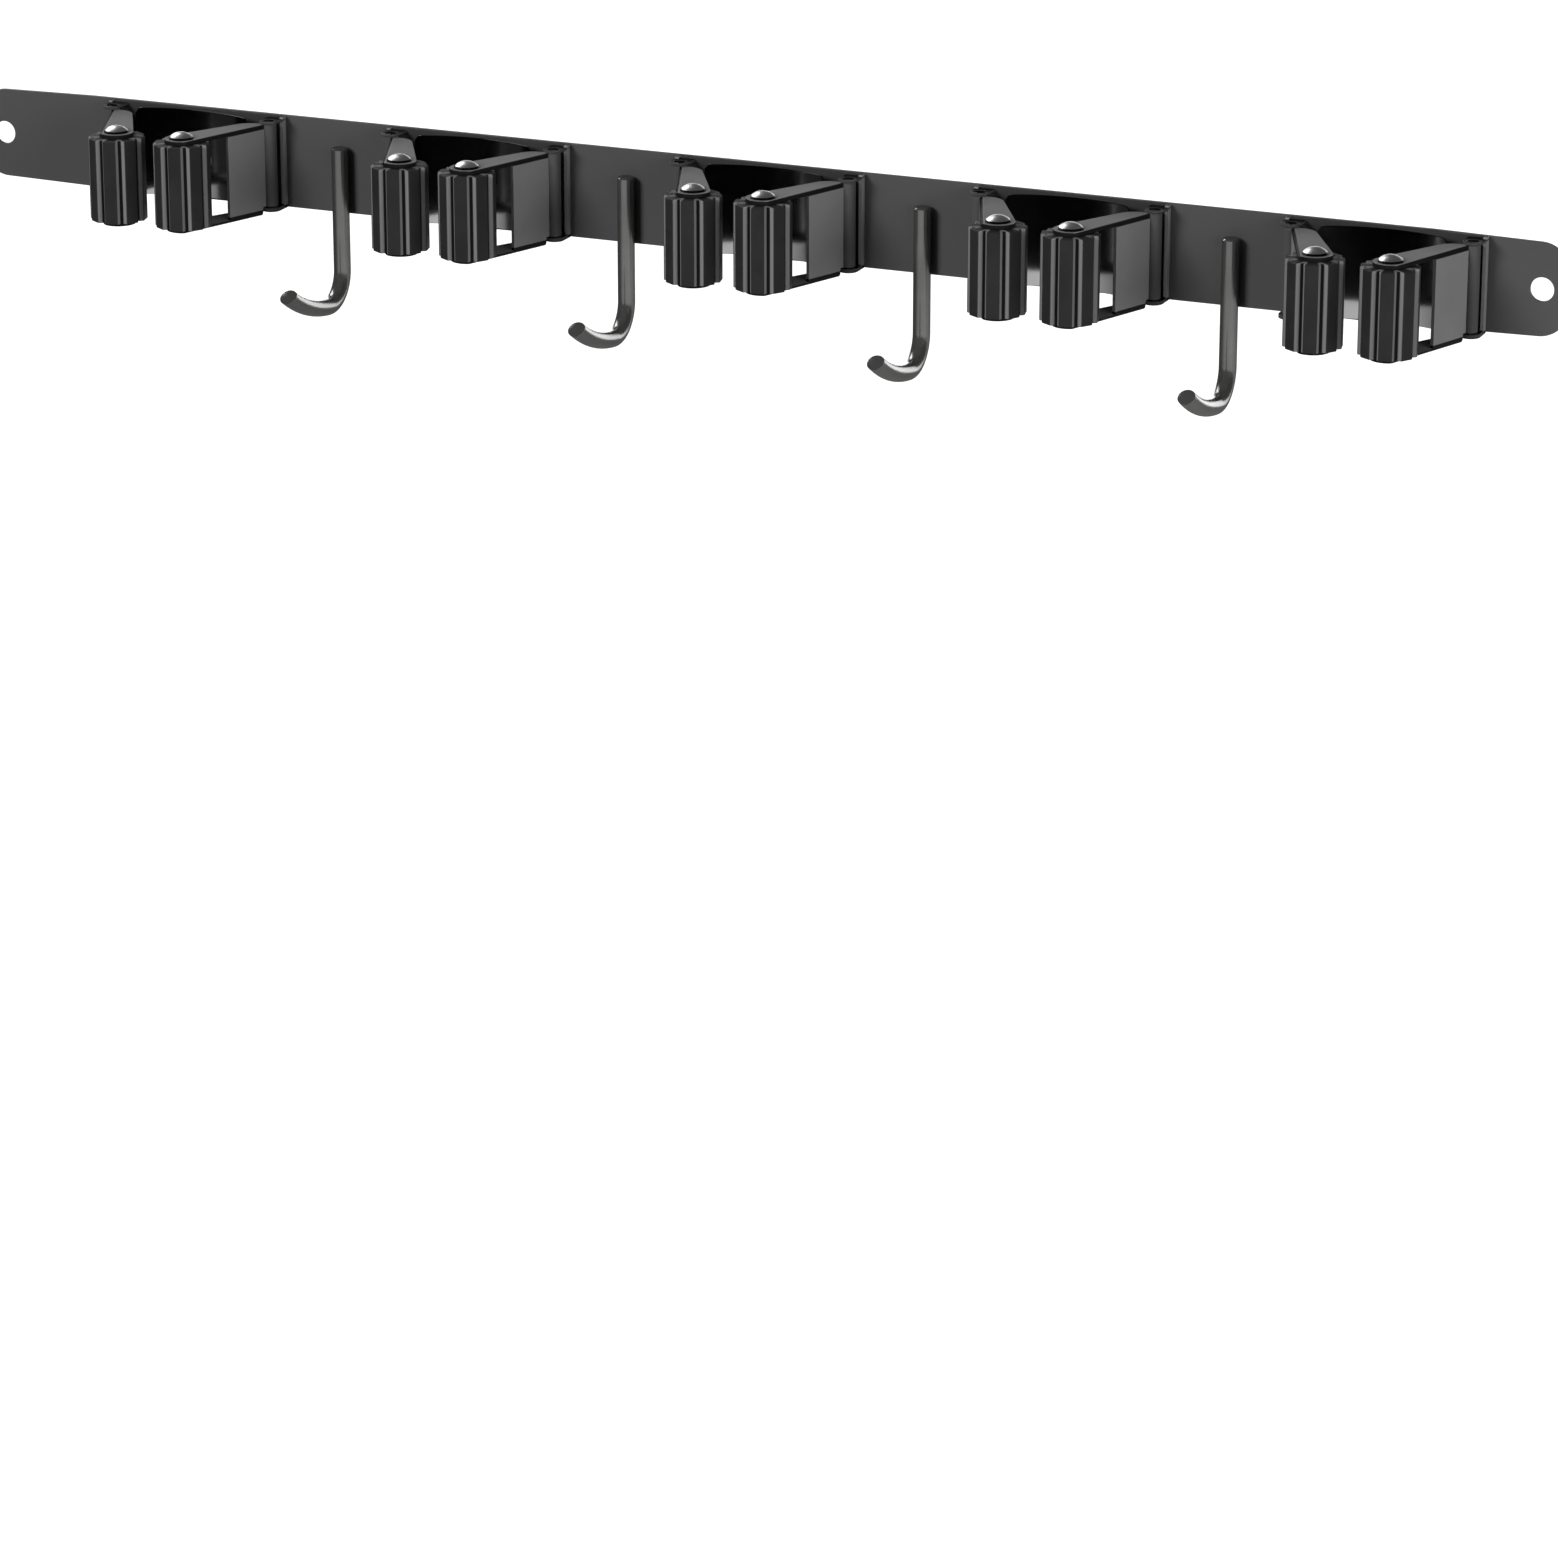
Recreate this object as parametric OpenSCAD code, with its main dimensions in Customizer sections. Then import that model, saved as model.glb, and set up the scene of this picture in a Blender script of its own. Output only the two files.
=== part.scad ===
// Wall rack for mops and brooms: five sprung roller grips and four rod hooks on one back plate.
// X runs along the plate, Y into the wall, Z up. The origin is the middle of the plate's rear face.

/* [Back plate] */
// Length of the plate along the wall
plate_length = 508; // [480:1:600]
// Height of the plate
plate_height = 28.5; // [25:0.5:36]
// Thickness of the plate
plate_thickness = 1.2; // [1:0.1:2]
// Radius of the four plate corners
plate_corner_r = 9; // [4:0.5:12]
// How much each long edge drops towards the ends
taper_drop = 0.6; // [0.2:0.1:1.5]
// Length of the tapered part at each end
taper_length = 40; // [30:1:60]
// Diameter of the two wall screw holes
wall_hole_d = 7; // [5:0.5:8]
// Distance of a screw hole from the plate's end
wall_hole_inset = 8.2; // [7:0.1:10]

/* [Clip row] */
// Middle of the first clip, from the plate's left end
left_room = 76.4; // [70:0.2:84]
// Middle of the last clip, from the plate's right end
right_room = 53.6; // [48:0.2:60]

/* [Clip base] */
// Width of the base over its two side flanges
base_width = 59.6; // [58:0.2:64]
// Room between the base's long edges and the plate's
base_margin = 0.15; // [0.05:0.05:0.5]
// Sheet thickness of the base
base_sheet = 1.2; // [1:0.1:1.4]
// Front edge of the side flanges, from the plate's front
flange_depth = 2.8; // [2:0.1:3]
// Hinge axis, from the plate's front
hinge_reach = 6; // [5.6:0.1:7]
// Radius of the round end of an ear, from the hinge axis
ear_r = 3; // [2.8:0.1:3.4]

/* [Hinge] */
// Diameter of the hinge pin
hinge_pin_d = 2.4; // [2:0.1:2.8]
// Radial room of the hinge pin in the arm
hinge_fit = 0.06; // [0.03:0.01:0.1]
// Radial room of a pin in the piece that holds it
press_fit = 0.02; // [0.01:0.01:0.03]
// Room between an ear and the arm
ear_gap = 0.3; // [0.3:0.05:0.5]
// How far the pin's top lies below the ear's top
pin_recess = 0.4; // [0.2:0.1:0.6]
// How far the pin's foot stands out below the lower ear
pin_foot = 0.3; // [0.1:0.1:0.6]
// Radius of the arm's curl around the pin
curl_r = 2.6; // [2.4:0.1:2.7]

/* [Arms] */
// How far an arm's underside hangs below the low ear
arm_dip = 1.3; // [0.8:0.1:1.8]
// Sheet thickness of an arm
arm_sheet = 1.1; // [0.9:0.1:1.3]
// Radius of the arm's round front end
arm_end_r = 5.1; // [4.6:0.1:6]
// Angle between the outer and the inner edge of a flap
arm_taper = 7.5; // [5:0.5:10]
// Rear edge of a flap, from the plate's front
heel_reach = 6.8; // [6.2:0.1:7.6]
// Radius of the flap's rear inner corner
heel_r = 6; // [4:0.5:8]
// Length of the outer wall from the hinge axis
web_length = 16.6; // [14:0.2:20]

/* [Rollers] */
// Distance between the two roller axes of a clip
roller_spacing = 22; // [21:0.5:24]
// Roller axis, from the plate's front
roller_reach = 32.8; // [30:0.2:36]
// Diameter of a roller over its ridges
roller_d = 17.2; // [15:0.2:18]
// Room at each end of a roller
roller_play = 0.2; // [0.1:0.05:0.4]
// Number of ridges around a roller
ridge_count = 8; // [6:1:12]
// Turn of the first groove around the roller
groove_turn = 34.7; // [0:0.1:45]
// Depth of the grooves
groove_depth = 1.3; // [0.6:0.1:1.8]
// Width of a groove at the outside
groove_width = 3; // [2:0.1:3.4]
// Width of a groove at its floor
groove_floor = 0.8; // [0.4:0.1:1.4]

/* [Roller pins] */
// Diameter of a roller pin
roller_pin_d = 4; // [3:0.1:4.4]
// Radial room of the roller on its pin
roller_fit = 0.06; // [0.03:0.01:0.1]
// Diameter of the domed head
dome_d = 7.4; // [6.6:0.1:8.4]
// Height of the domed head
dome_h = 2; // [1.4:0.1:2.6]
// Diameter of the closed end below the arm
tail_d = 5; // [4.6:0.1:6.4]
// Height of the closed end below the arm
tail_h = 0.5; // [0.3:0.1:1.4]

/* [Leaf springs] */
// Distance between the two ends of a leaf spring
leaf_span = 38; // [34:0.5:40]
// How far the ends stand forward of the middle
leaf_bow = 4; // [3:0.1:4]
// Thickness of a leaf spring
leaf_sheet = 0.7; // [0.5:0.1:0.8]
// Room between a leaf's long edges and the base's
leaf_margin = 0.6; // [0.3:0.1:2]

/* [Base rivets] */
// Diameter of the rivet's domed head
rivet_head_d = 9; // [7:0.2:10]
// Height of the rivet's domed head
rivet_head_h = 2.2; // [1.6:0.1:2.4]
// Diameter of the rivet's shank
rivet_d = 4; // [3:0.1:5]
// How far the rivet sits below the plate's middle line
rivet_drop = 1.5; // [0:0.1:2]

/* [Hooks] */
// Diameter of the hook rod
hook_rod_d = 5.2; // [4:0.1:5.6]
// Hooks to the right of the middle between two clips
hook_shift = 1.4; // [0:0.1:2]
// Top of the rod above the plate's middle line
hook_top = 6.5; // [2:0.5:10]
// Start of the bend below the plate's middle line
hook_drop = 31.1; // [20:0.1:40]
// Bend radius of the rod's centre line
hook_bend_r = 9.4; // [8:0.1:14]
// Angle of the bend
hook_bend_angle = 97.5; // [85:0.5:110]
// Radius of the gentle curve after the bend
hook_curve_r = 63; // [40:1:90]
// Angle of the gentle curve
hook_curve_angle = 25; // [12:1:32]
// Slant of the cut at the rod's end
hook_cut = 23; // [0:1:35]

/* [Hidden] */
$fn = 96;
eps = 0.05;
clip_count = 5;
hook_count = 4;

// The row of clips fills the plate between the two end rooms
clip_pitch = (plate_length - left_room - right_room) / (clip_count - 1);
row_offset = (left_room - right_room) / 2;
base_height = plate_height - 2 * base_margin;
leaf_height = base_height - 2 * leaf_margin;

function clip_x(i) = row_offset + (i - (clip_count + 1) / 2) * clip_pitch;
function hook_x(i) = row_offset + hook_shift + (i - (hook_count + 1) / 2) * clip_pitch;

plate_front = -plate_thickness;
base_front = plate_front - base_sheet;
flange_front = plate_front - flange_depth;

hinge_x = base_width / 2 - ear_r;
hinge_y = plate_front - hinge_reach;
hinge_point = [hinge_x, hinge_y];
roller_x = roller_spacing / 2;
roller_y = plate_front - roller_reach;

// Heights: an arm's upper flap and curl lie between the ears, its lower flap passes in front of the low ear
ear_top = base_height / 2;
ear_bottom = -base_height / 2;
arm_top = ear_top - base_sheet - ear_gap;
arm_bottom = ear_bottom - arm_dip;
flap_under = arm_top - arm_sheet;
flap_over = arm_bottom + arm_sheet;
curl_bottom = ear_bottom + base_sheet + ear_gap;
roller_length = flap_under - flap_over - 2 * roller_play;

// Plan of a right arm in its own frame: the hinge axis is the origin and the outer edge runs along -Y.
// The round front end stands a hair out of the straight edges on both sides.
end_swell = 0.1;
edge_inset = arm_end_r - end_swell;
arm_dx = hinge_x - roller_x;
arm_dy = hinge_y - roller_y;
arm_reach = norm([arm_dx, arm_dy]);
outer_turn = atan2(arm_dx, arm_dy) - asin(edge_inset / arm_reach);
edge_length = sqrt(pow(arm_reach, 2) - pow(edge_inset, 2));
end_point = [-edge_inset, -edge_length];
inner_side = [-cos(arm_taper), sin(arm_taper)];
inner_touch = end_point + edge_inset * inner_side;

// The flap's rear edge runs along the plate, and a round heel joins it to the inner edge
along_plate = [cos(outer_turn), sin(outer_turn)];
to_plate = [-sin(outer_turn), cos(outer_turn)];
heel_depth = heel_reach - hinge_reach + heel_r;
heel_slide = (edge_inset - heel_r + end_point * inner_side + heel_depth * (to_plate * inner_side))
    / (along_plate * inner_side);
heel_centre = heel_slide * along_plate - heel_depth * to_plate;
heel_steps = 12;
heel_sweep = 90 - outer_turn - arm_taper;

// The leaf spring is a slice of a thin round shell, hollow side to the front
leaf_outer_r = (pow(leaf_span / 2, 2) + pow(leaf_bow, 2)) / (2 * leaf_bow);
leaf_inner_r = leaf_outer_r - leaf_sheet;
leaf_axis_y = base_front - leaf_outer_r;
rivet_seat = leaf_axis_y + sqrt(pow(leaf_inner_r, 2) - pow(rivet_head_d / 2, 2));

// The hook's gentle curve laps into the bend and is a hair thinner; it runs past the slanted cut
hook_lap = 0.3;
hook_step = 0.01;
hook_lap_turn = hook_lap / hook_curve_r * 180 / PI;
hook_over_turn = hook_rod_d / hook_curve_r * 180 / PI;
hook_axis_y = plate_front - hook_rod_d / 2;
hook_centre_y = hook_axis_y - hook_bend_r;

steel_dark = [0.28, 0.28, 0.29];
steel_arm = [0.36, 0.36, 0.37];
steel_bright = [0.86, 0.86, 0.87];
steel_rod = [0.4, 0.39, 0.37];
steel_spring = [0.5, 0.5, 0.51];
rubber_black = [0.13, 0.13, 0.14];

// Round bar along Y, from its rear end forward
module rod_y(d, rear, front) {
    translate([0, rear, 0])
        rotate([90, 0, 0])
            cylinder(d = d, h = rear - front);
}

// Round bar along Z
module rod_z(d, low, high) {
    translate([0, 0, low])
        cylinder(d = d, h = high - low);
}

// Cap of a ball on the plane z = 0
module dome(d, h) {
    ball_r = (pow(d / 2, 2) + pow(h, 2)) / (2 * h);
    intersection() {
        translate([0, 0, h - ball_r])
            sphere(r = ball_r);
        cylinder(d = d, h = h + eps);
    }
}

// Plate standing on the plane y = 0, its front towards -Y
module plate_body() {
    end_x = plate_length / 2;
    end_z = plate_height / 2 - taper_drop;
    mid_x = end_x - taper_length;
    corner_x = end_x - plate_corner_r;
    corner_z = end_z - plate_corner_r;
    for (side = [-1, 1])
        for (edge = [-1, 1])
            translate([side * corner_x, 0, edge * corner_z])
                rod_y(2 * plate_corner_r, 0, plate_front);
    translate([-end_x, plate_front, -corner_z])
        cube([plate_length, plate_thickness, 2 * corner_z]);
    rotate([90, 0, 0])
        linear_extrude(height = plate_thickness)
            polygon([
                [-mid_x, plate_height / 2], [mid_x, plate_height / 2],
                [corner_x, end_z], [corner_x, -end_z],
                [mid_x, -plate_height / 2], [-mid_x, -plate_height / 2],
                [-corner_x, -end_z], [-corner_x, end_z]
            ]);
}

module back_plate() {
    hole_x = plate_length / 2 - wall_hole_inset;
    color(steel_dark)
        difference() {
            plate_body();
            for (side = [-1, 1])
                translate([side * hole_x, 0, 0])
                    rod_y(wall_hole_d, eps, plate_front - eps);
            for (i = [1:clip_count])
                translate([clip_x(i), 0, -rivet_drop])
                    rod_y(rivet_d + 2 * press_fit, eps, plate_front - eps);
        }
}

// Whole rod in a frame with the bend's centre at the origin and the stem along -Y, before the end is cut
module hook_rod() {
    translate([hook_bend_r, 0, 0])
        rotate([90, 0, 0])
            cylinder(d = hook_rod_d, h = hook_drop + hook_top);
    rotate_extrude(angle = hook_bend_angle)
        translate([hook_bend_r, 0])
            circle(d = hook_rod_d);
    to_hook_curve()
        rotate([0, 0, -hook_lap_turn])
            rotate_extrude(angle = hook_lap_turn + hook_curve_angle + hook_over_turn)
                translate([hook_curve_r, 0])
                    circle(d = hook_rod_d - 2 * hook_step);
}

// Moves to the centre of the gentle curve, turned to its start
module to_hook_curve() {
    rotate([0, 0, hook_bend_angle])
        translate([hook_bend_r - hook_curve_r, 0, 0])
            children();
}

module hook(i) {
    color(steel_rod)
        translate([hook_x(i), hook_centre_y, -hook_drop])
            rotate([90, 0, 90])
                mirror([0, 1, 0])
                    difference() {
                        hook_rod();
                        to_hook_curve()
                            rotate([0, 0, hook_curve_angle])
                                translate([hook_curve_r, 0, 0])
                                    rotate([0, 0, hook_cut])
                                        translate([-2 * hook_rod_d, 0, -hook_rod_d])
                                            cube([4 * hook_rod_d, 3 * hook_rod_d, 2 * hook_rod_d]);
                    }
}

// One ear of the base on the right side, its underside on the plane z = 0
module ear() {
    translate(hinge_point)
        cylinder(r = ear_r, h = base_sheet);
    translate([hinge_x - ear_r, hinge_y, 0])
        cube([2 * ear_r, base_front - hinge_y + base_sheet / 2, base_sheet]);
}

module clip_base(i) {
    color(steel_arm)
        translate([clip_x(i), 0, 0])
            difference() {
                union() {
                    translate([-base_width / 2, base_front, -base_height / 2])
                        cube([base_width, base_sheet, base_height]);
                    for (side = [0, 1])
                        mirror([side, 0, 0]) {
                            translate([base_width / 2 - base_sheet, flange_front, -base_height / 2])
                                cube([base_sheet, plate_front - flange_front, base_height]);
                            for (low = [ear_top - base_sheet, ear_bottom])
                                translate([0, 0, low])
                                    ear();
                        }
                }
                for (side = [0, 1])
                    mirror([side, 0, 0])
                        translate(hinge_point)
                            rod_z(hinge_pin_d + 2 * press_fit, ear_bottom - eps, ear_top + eps);
                translate([0, 0, -rivet_drop])
                    rod_y(rivet_d + 2 * press_fit, plate_front + eps, base_front - eps);
            }
}

module hinge_pins(i) {
    color(steel_dark)
        translate([clip_x(i), 0, 0])
            for (side = [0, 1])
                mirror([side, 0, 0])
                    translate(hinge_point)
                        rod_z(hinge_pin_d, ear_bottom - pin_foot, ear_top - pin_recess);
}

module leaf_spring(i) {
    color(steel_spring)
        translate([clip_x(i), 0, 0])
            difference() {
                intersection() {
                    translate([0, leaf_axis_y, -leaf_height / 2])
                        difference() {
                            cylinder(r = leaf_outer_r, h = leaf_height);
                            translate([0, 0, -eps])
                                cylinder(r = leaf_inner_r, h = leaf_height + 2 * eps);
                        }
                    translate([-leaf_span / 2, leaf_axis_y, -leaf_height / 2])
                        cube([leaf_span, leaf_outer_r, leaf_height]);
                }
                translate([0, 0, -rivet_drop])
                    rod_y(rivet_d + 2 * press_fit, plate_front, rivet_seat - eps);
            }
}

module base_rivet(i) {
    color(steel_bright)
        translate([clip_x(i), 0, -rivet_drop]) {
            rod_y(rivet_d, 0, rivet_seat - rivet_head_h / 2);
            translate([0, rivet_seat, 0])
                rotate([90, 0, 0])
                    dome(rivet_head_d, rivet_head_h);
        }
}

// Flap of a right arm in the arm's own frame, its underside on the plane z = 0
module flap() {
    heel_arc = [
        for (k = [0:heel_steps])
            let (turn = 90 + outer_turn + heel_sweep * (1 - k / heel_steps))
            heel_centre + heel_r * [cos(turn), sin(turn)]
    ];
    cylinder(r = curl_r, h = arm_sheet);
    translate(end_point)
        cylinder(r = arm_end_r, h = arm_sheet);
    linear_extrude(height = arm_sheet)
        polygon(concat([[0, 0], [0, -edge_length], end_point, inner_touch], heel_arc));
}

// The wall and the curl lap into both flaps, and all that the base's low ear needs is cut away
module right_arm_shape() {
    lap_low = arm_bottom + arm_sheet / 2;
    lap_high = arm_top - arm_sheet / 2;
    translate(hinge_point)
        rotate([0, 0, -outer_turn])
            difference() {
                union() {
                    for (low = [arm_bottom, flap_under])
                        translate([0, 0, low])
                            flap();
                    translate([-arm_sheet, -web_length, lap_low])
                        cube([arm_sheet, web_length, lap_high - lap_low]);
                    rod_z(2 * curl_r, lap_low, lap_high);
                }
                rod_z(2 * (ear_r + ear_gap), arm_bottom - eps, curl_bottom);
                rod_z(hinge_pin_d + 2 * hinge_fit, curl_bottom - eps, arm_top + eps);
                translate(end_point)
                    rod_z(roller_pin_d + 2 * press_fit, arm_bottom - eps, arm_top + eps);
            }
}

module right_arm(i) {
    color(steel_arm)
        translate([clip_x(i), 0, 0])
            right_arm_shape();
}

module left_arm(i) {
    color(steel_arm)
        translate([clip_x(i), 0, 0])
            mirror([1, 0, 0])
                right_arm_shape();
}

// Ridged rubber roller around its own axis
module roller_shape() {
    translate([0, 0, flap_over + roller_play])
        linear_extrude(height = roller_length)
            difference() {
                circle(d = roller_d);
                for (k = [0:ridge_count - 1])
                    rotate(groove_turn + k * 360 / ridge_count)
                        polygon([
                            [roller_d / 2 - groove_depth, groove_floor / 2],
                            [roller_d / 2 - groove_depth, -groove_floor / 2],
                            [roller_d / 2 + eps, -groove_width / 2],
                            [roller_d / 2 + eps, groove_width / 2]
                        ]);
                circle(d = roller_pin_d + 2 * roller_fit);
            }
}

module left_roller(i) {
    color(rubber_black)
        translate([clip_x(i) - roller_x, roller_y, 0])
            roller_shape();
}

module right_roller(i) {
    color(rubber_black)
        translate([clip_x(i) + roller_x, roller_y, 0])
            roller_shape();
}

module roller_pin_shape() {
    rod_z(roller_pin_d, arm_bottom - tail_h / 2, arm_top + dome_h / 2);
    translate([0, 0, arm_top])
        dome(dome_d, dome_h);
    rod_z(tail_d, arm_bottom - tail_h, arm_bottom);
}

module left_roller_pin(i) {
    color(steel_bright)
        translate([clip_x(i) - roller_x, roller_y, 0])
            roller_pin_shape();
}

module right_roller_pin(i) {
    color(steel_bright)
        translate([clip_x(i) + roller_x, roller_y, 0])
            roller_pin_shape();
}

back_plate();
hook(1);  // hook_1
hook(2);  // hook_2
hook(3);  // hook_3
hook(4);  // hook_4
clip_base(1);  // clip_base_1
clip_base(2);  // clip_base_2
clip_base(3);  // clip_base_3
clip_base(4);  // clip_base_4
clip_base(5);  // clip_base_5
hinge_pins(1);  // hinge_pins_1
hinge_pins(2);  // hinge_pins_2
hinge_pins(3);  // hinge_pins_3
hinge_pins(4);  // hinge_pins_4
hinge_pins(5);  // hinge_pins_5
leaf_spring(1);  // leaf_spring_1
leaf_spring(2);  // leaf_spring_2
leaf_spring(3);  // leaf_spring_3
leaf_spring(4);  // leaf_spring_4
leaf_spring(5);  // leaf_spring_5
base_rivet(1);  // base_rivet_1
base_rivet(2);  // base_rivet_2
base_rivet(3);  // base_rivet_3
base_rivet(4);  // base_rivet_4
base_rivet(5);  // base_rivet_5
left_arm(1);  // left_arm_1
left_arm(2);  // left_arm_2
left_arm(3);  // left_arm_3
left_arm(4);  // left_arm_4
left_arm(5);  // left_arm_5
right_arm(1);  // right_arm_1
right_arm(2);  // right_arm_2
right_arm(3);  // right_arm_3
right_arm(4);  // right_arm_4
right_arm(5);  // right_arm_5
left_roller(1);  // left_roller_1
left_roller(2);  // left_roller_2
left_roller(3);  // left_roller_3
left_roller(4);  // left_roller_4
left_roller(5);  // left_roller_5
right_roller(1);  // right_roller_1
right_roller(2);  // right_roller_2
right_roller(3);  // right_roller_3
right_roller(4);  // right_roller_4
right_roller(5);  // right_roller_5
left_roller_pin(1);  // left_roller_pin_1
left_roller_pin(2);  // left_roller_pin_2
left_roller_pin(3);  // left_roller_pin_3
left_roller_pin(4);  // left_roller_pin_4
left_roller_pin(5);  // left_roller_pin_5
right_roller_pin(1);  // right_roller_pin_1
right_roller_pin(2);  // right_roller_pin_2
right_roller_pin(3);  // right_roller_pin_3
right_roller_pin(4);  // right_roller_pin_4
right_roller_pin(5);  // right_roller_pin_5
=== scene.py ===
import math
import bmesh
import bpy
from mathutils import Matrix, Vector


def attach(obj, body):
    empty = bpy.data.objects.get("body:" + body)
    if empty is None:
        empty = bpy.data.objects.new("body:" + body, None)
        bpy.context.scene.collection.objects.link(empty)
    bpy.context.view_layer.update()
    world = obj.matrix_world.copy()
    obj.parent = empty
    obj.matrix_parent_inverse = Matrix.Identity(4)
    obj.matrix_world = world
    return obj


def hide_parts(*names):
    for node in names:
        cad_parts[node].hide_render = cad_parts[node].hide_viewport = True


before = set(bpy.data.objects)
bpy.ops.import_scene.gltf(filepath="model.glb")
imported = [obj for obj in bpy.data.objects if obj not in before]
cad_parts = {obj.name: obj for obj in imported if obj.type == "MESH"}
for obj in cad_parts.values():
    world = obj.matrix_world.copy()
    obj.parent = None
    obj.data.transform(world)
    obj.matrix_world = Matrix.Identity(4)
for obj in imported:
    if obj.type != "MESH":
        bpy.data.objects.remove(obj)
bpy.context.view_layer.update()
mm = 0.001
scene = bpy.context.scene
print("frame loaded:", len(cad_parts), "nodes")

# the row of clips and hooks, as in the source
row = {"pitch": 94.5, "offset": 11.4, "hookShift": 1.4, "clips": 5, "hooks": 4}


def alongPlate(count, middle):
    return [middle + (i - (count - 1) / 2) * row["pitch"] for i in range(count)]


clipX = alongPlate(row["clips"], row["offset"])
hookX = alongPlate(row["hooks"], row["offset"] + row["hookShift"])
sides = (("left", -1), ("right", 1))

# camera at the photograph's angle
shot = {"place": (0.7043, -1.6511, 0.4495), "target": (0.01323, 0.0, -0.17733), "lens": 144.27,
        "sensor": 36, "farClip": 50}


def facing(way):
    # the turn of a camera or a lamp that looks this way
    return way.to_track_quat("-Z", "Y").to_euler()


camData = bpy.data.cameras.new("photoCamera")
camData.lens = shot["lens"]
camData.sensor_width = shot["sensor"]
camData.clip_end = shot["farClip"]
cam = bpy.data.objects.new("photoCamera", camData)
cam.location = shot["place"]
cam.rotation_euler = facing(Vector(shot["target"]) - Vector(shot["place"]))
scene.collection.objects.link(cam)
scene.camera = cam

# what all finishes share; a look can set its own grain share and specular
finishRule = {"noiseRough": 0.6, "cloudDetail": 3, "grainDetail": 4, "rampEnds": (0.42, 0.86),
              "grainShare": 0.2, "bumpDepth": 0.0001, "specular": 0.5,
              "markReach": (0.2, 0.8), "rimReach": (0.03, 0.2), "deepReach": (0.75, 0.95)}
mixSockets = {"first": 6, "second": 7, "result": 2}  # the colour sockets of a Mix node


def addNode(tree, kind, **values):
    node = tree.nodes.new(kind)
    for key, value in values.items():
        setattr(node, key, value)
    return node


def mathOf(tree, operation, *values):
    # one math node, fed with numbers or with other nodes' outputs
    node = addNode(tree, "ShaderNodeMath", operation=operation)
    for socket, value in zip(node.inputs, values):
        if isinstance(value, (int, float)):
            socket.default_value = value
        else:
            tree.links.new(value, socket)
    return node.outputs["Value"]


def noiseOf(tree, coords, scale, detail, stretch=None):
    source = coords
    if stretch:
        turn = addNode(tree, "ShaderNodeMapping")
        turn.inputs["Scale"].default_value = stretch
        tree.links.new(coords, turn.inputs["Vector"])
        source = turn.outputs["Vector"]
    noise = addNode(tree, "ShaderNodeTexNoise")
    noise.inputs["Scale"].default_value = scale
    noise.inputs["Detail"].default_value = detail
    noise.inputs["Roughness"].default_value = finishRule["noiseRough"]
    tree.links.new(source, noise.inputs["Vector"])
    return noise.outputs["Fac"]


def spread(tree, value, low, high, fromLow=0.3, fromHigh=0.7):
    node = addNode(tree, "ShaderNodeMapRange")
    node.inputs["From Min"].default_value = fromLow
    node.inputs["From Max"].default_value = fromHigh
    node.inputs["To Min"].default_value = low
    node.inputs["To Max"].default_value = high
    tree.links.new(value, node.inputs["Value"])
    return node.outputs["Result"]


def marked(tree, colour, attribute, middle, deep=None):
    # paints light and shade by a stored value: the middle tone comes first, the deep tone, where there is
    # one, close to 1; both stand in for shade, except on the rollers, where the middle tone is a painted
    # highlight
    value = addNode(tree, "ShaderNodeAttribute", attribute_name=attribute).outputs["Fac"]
    tones = [(middle, finishRule["markReach"])]
    if deep:
        tones = [(middle, finishRule["rimReach"]), (deep, finishRule["deepReach"])]
    for tone, reach in tones:
        mix = addNode(tree, "ShaderNodeMix", data_type="RGBA")
        tree.links.new(spread(tree, value, 0, 1, *reach), mix.inputs["Factor"])
        tree.links.new(colour, mix.inputs[mixSockets["first"]])
        mix.inputs[mixSockets["second"]].default_value = (*tone, 1)
        colour = mix.outputs[mixSockets["result"]]
    return colour


def finish(name, look):
    # one satin or bright finish: cloudy tone, fine grain, roughness and bump from the same grain
    mat = bpy.data.materials.new(name)
    mat.use_nodes = True
    tree = mat.node_tree
    shader = tree.nodes["Principled BSDF"]
    coords = addNode(tree, "ShaderNodeTexCoord").outputs["Object"]
    cloud = noiseOf(tree, coords, look["cloudScale"], finishRule["cloudDetail"])
    grain = noiseOf(tree, coords, look["grainScale"], finishRule["grainDetail"], look.get("stretch"))
    both = mathOf(tree, "MULTIPLY_ADD", grain, look.get("grainShare", finishRule["grainShare"]), cloud)
    tone = addNode(tree, "ShaderNodeValToRGB")
    for end, position, key in zip(tone.color_ramp.elements, finishRule["rampEnds"], ("dark", "light")):
        end.position = position
        end.color = (*look[key], 1)
    tree.links.new(both, tone.inputs["Fac"])
    colour = tone.outputs["Color"]
    if "mark" in look:
        colour = marked(tree, colour, *look["mark"])
    tree.links.new(colour, shader.inputs["Base Color"])
    tree.links.new(spread(tree, grain, *look["rough"]), shader.inputs["Roughness"])
    bump = addNode(tree, "ShaderNodeBump")
    bump.inputs["Strength"].default_value = look["bump"]
    bump.inputs["Distance"].default_value = finishRule["bumpDepth"]
    tree.links.new(grain, bump.inputs["Height"])
    tree.links.new(bump.outputs["Normal"], shader.inputs["Normal"])
    shader.inputs["Metallic"].default_value = look["metal"]
    shader.inputs["Specular IOR Level"].default_value = look.get("specular", finishRule["specular"])
    return mat


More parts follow.
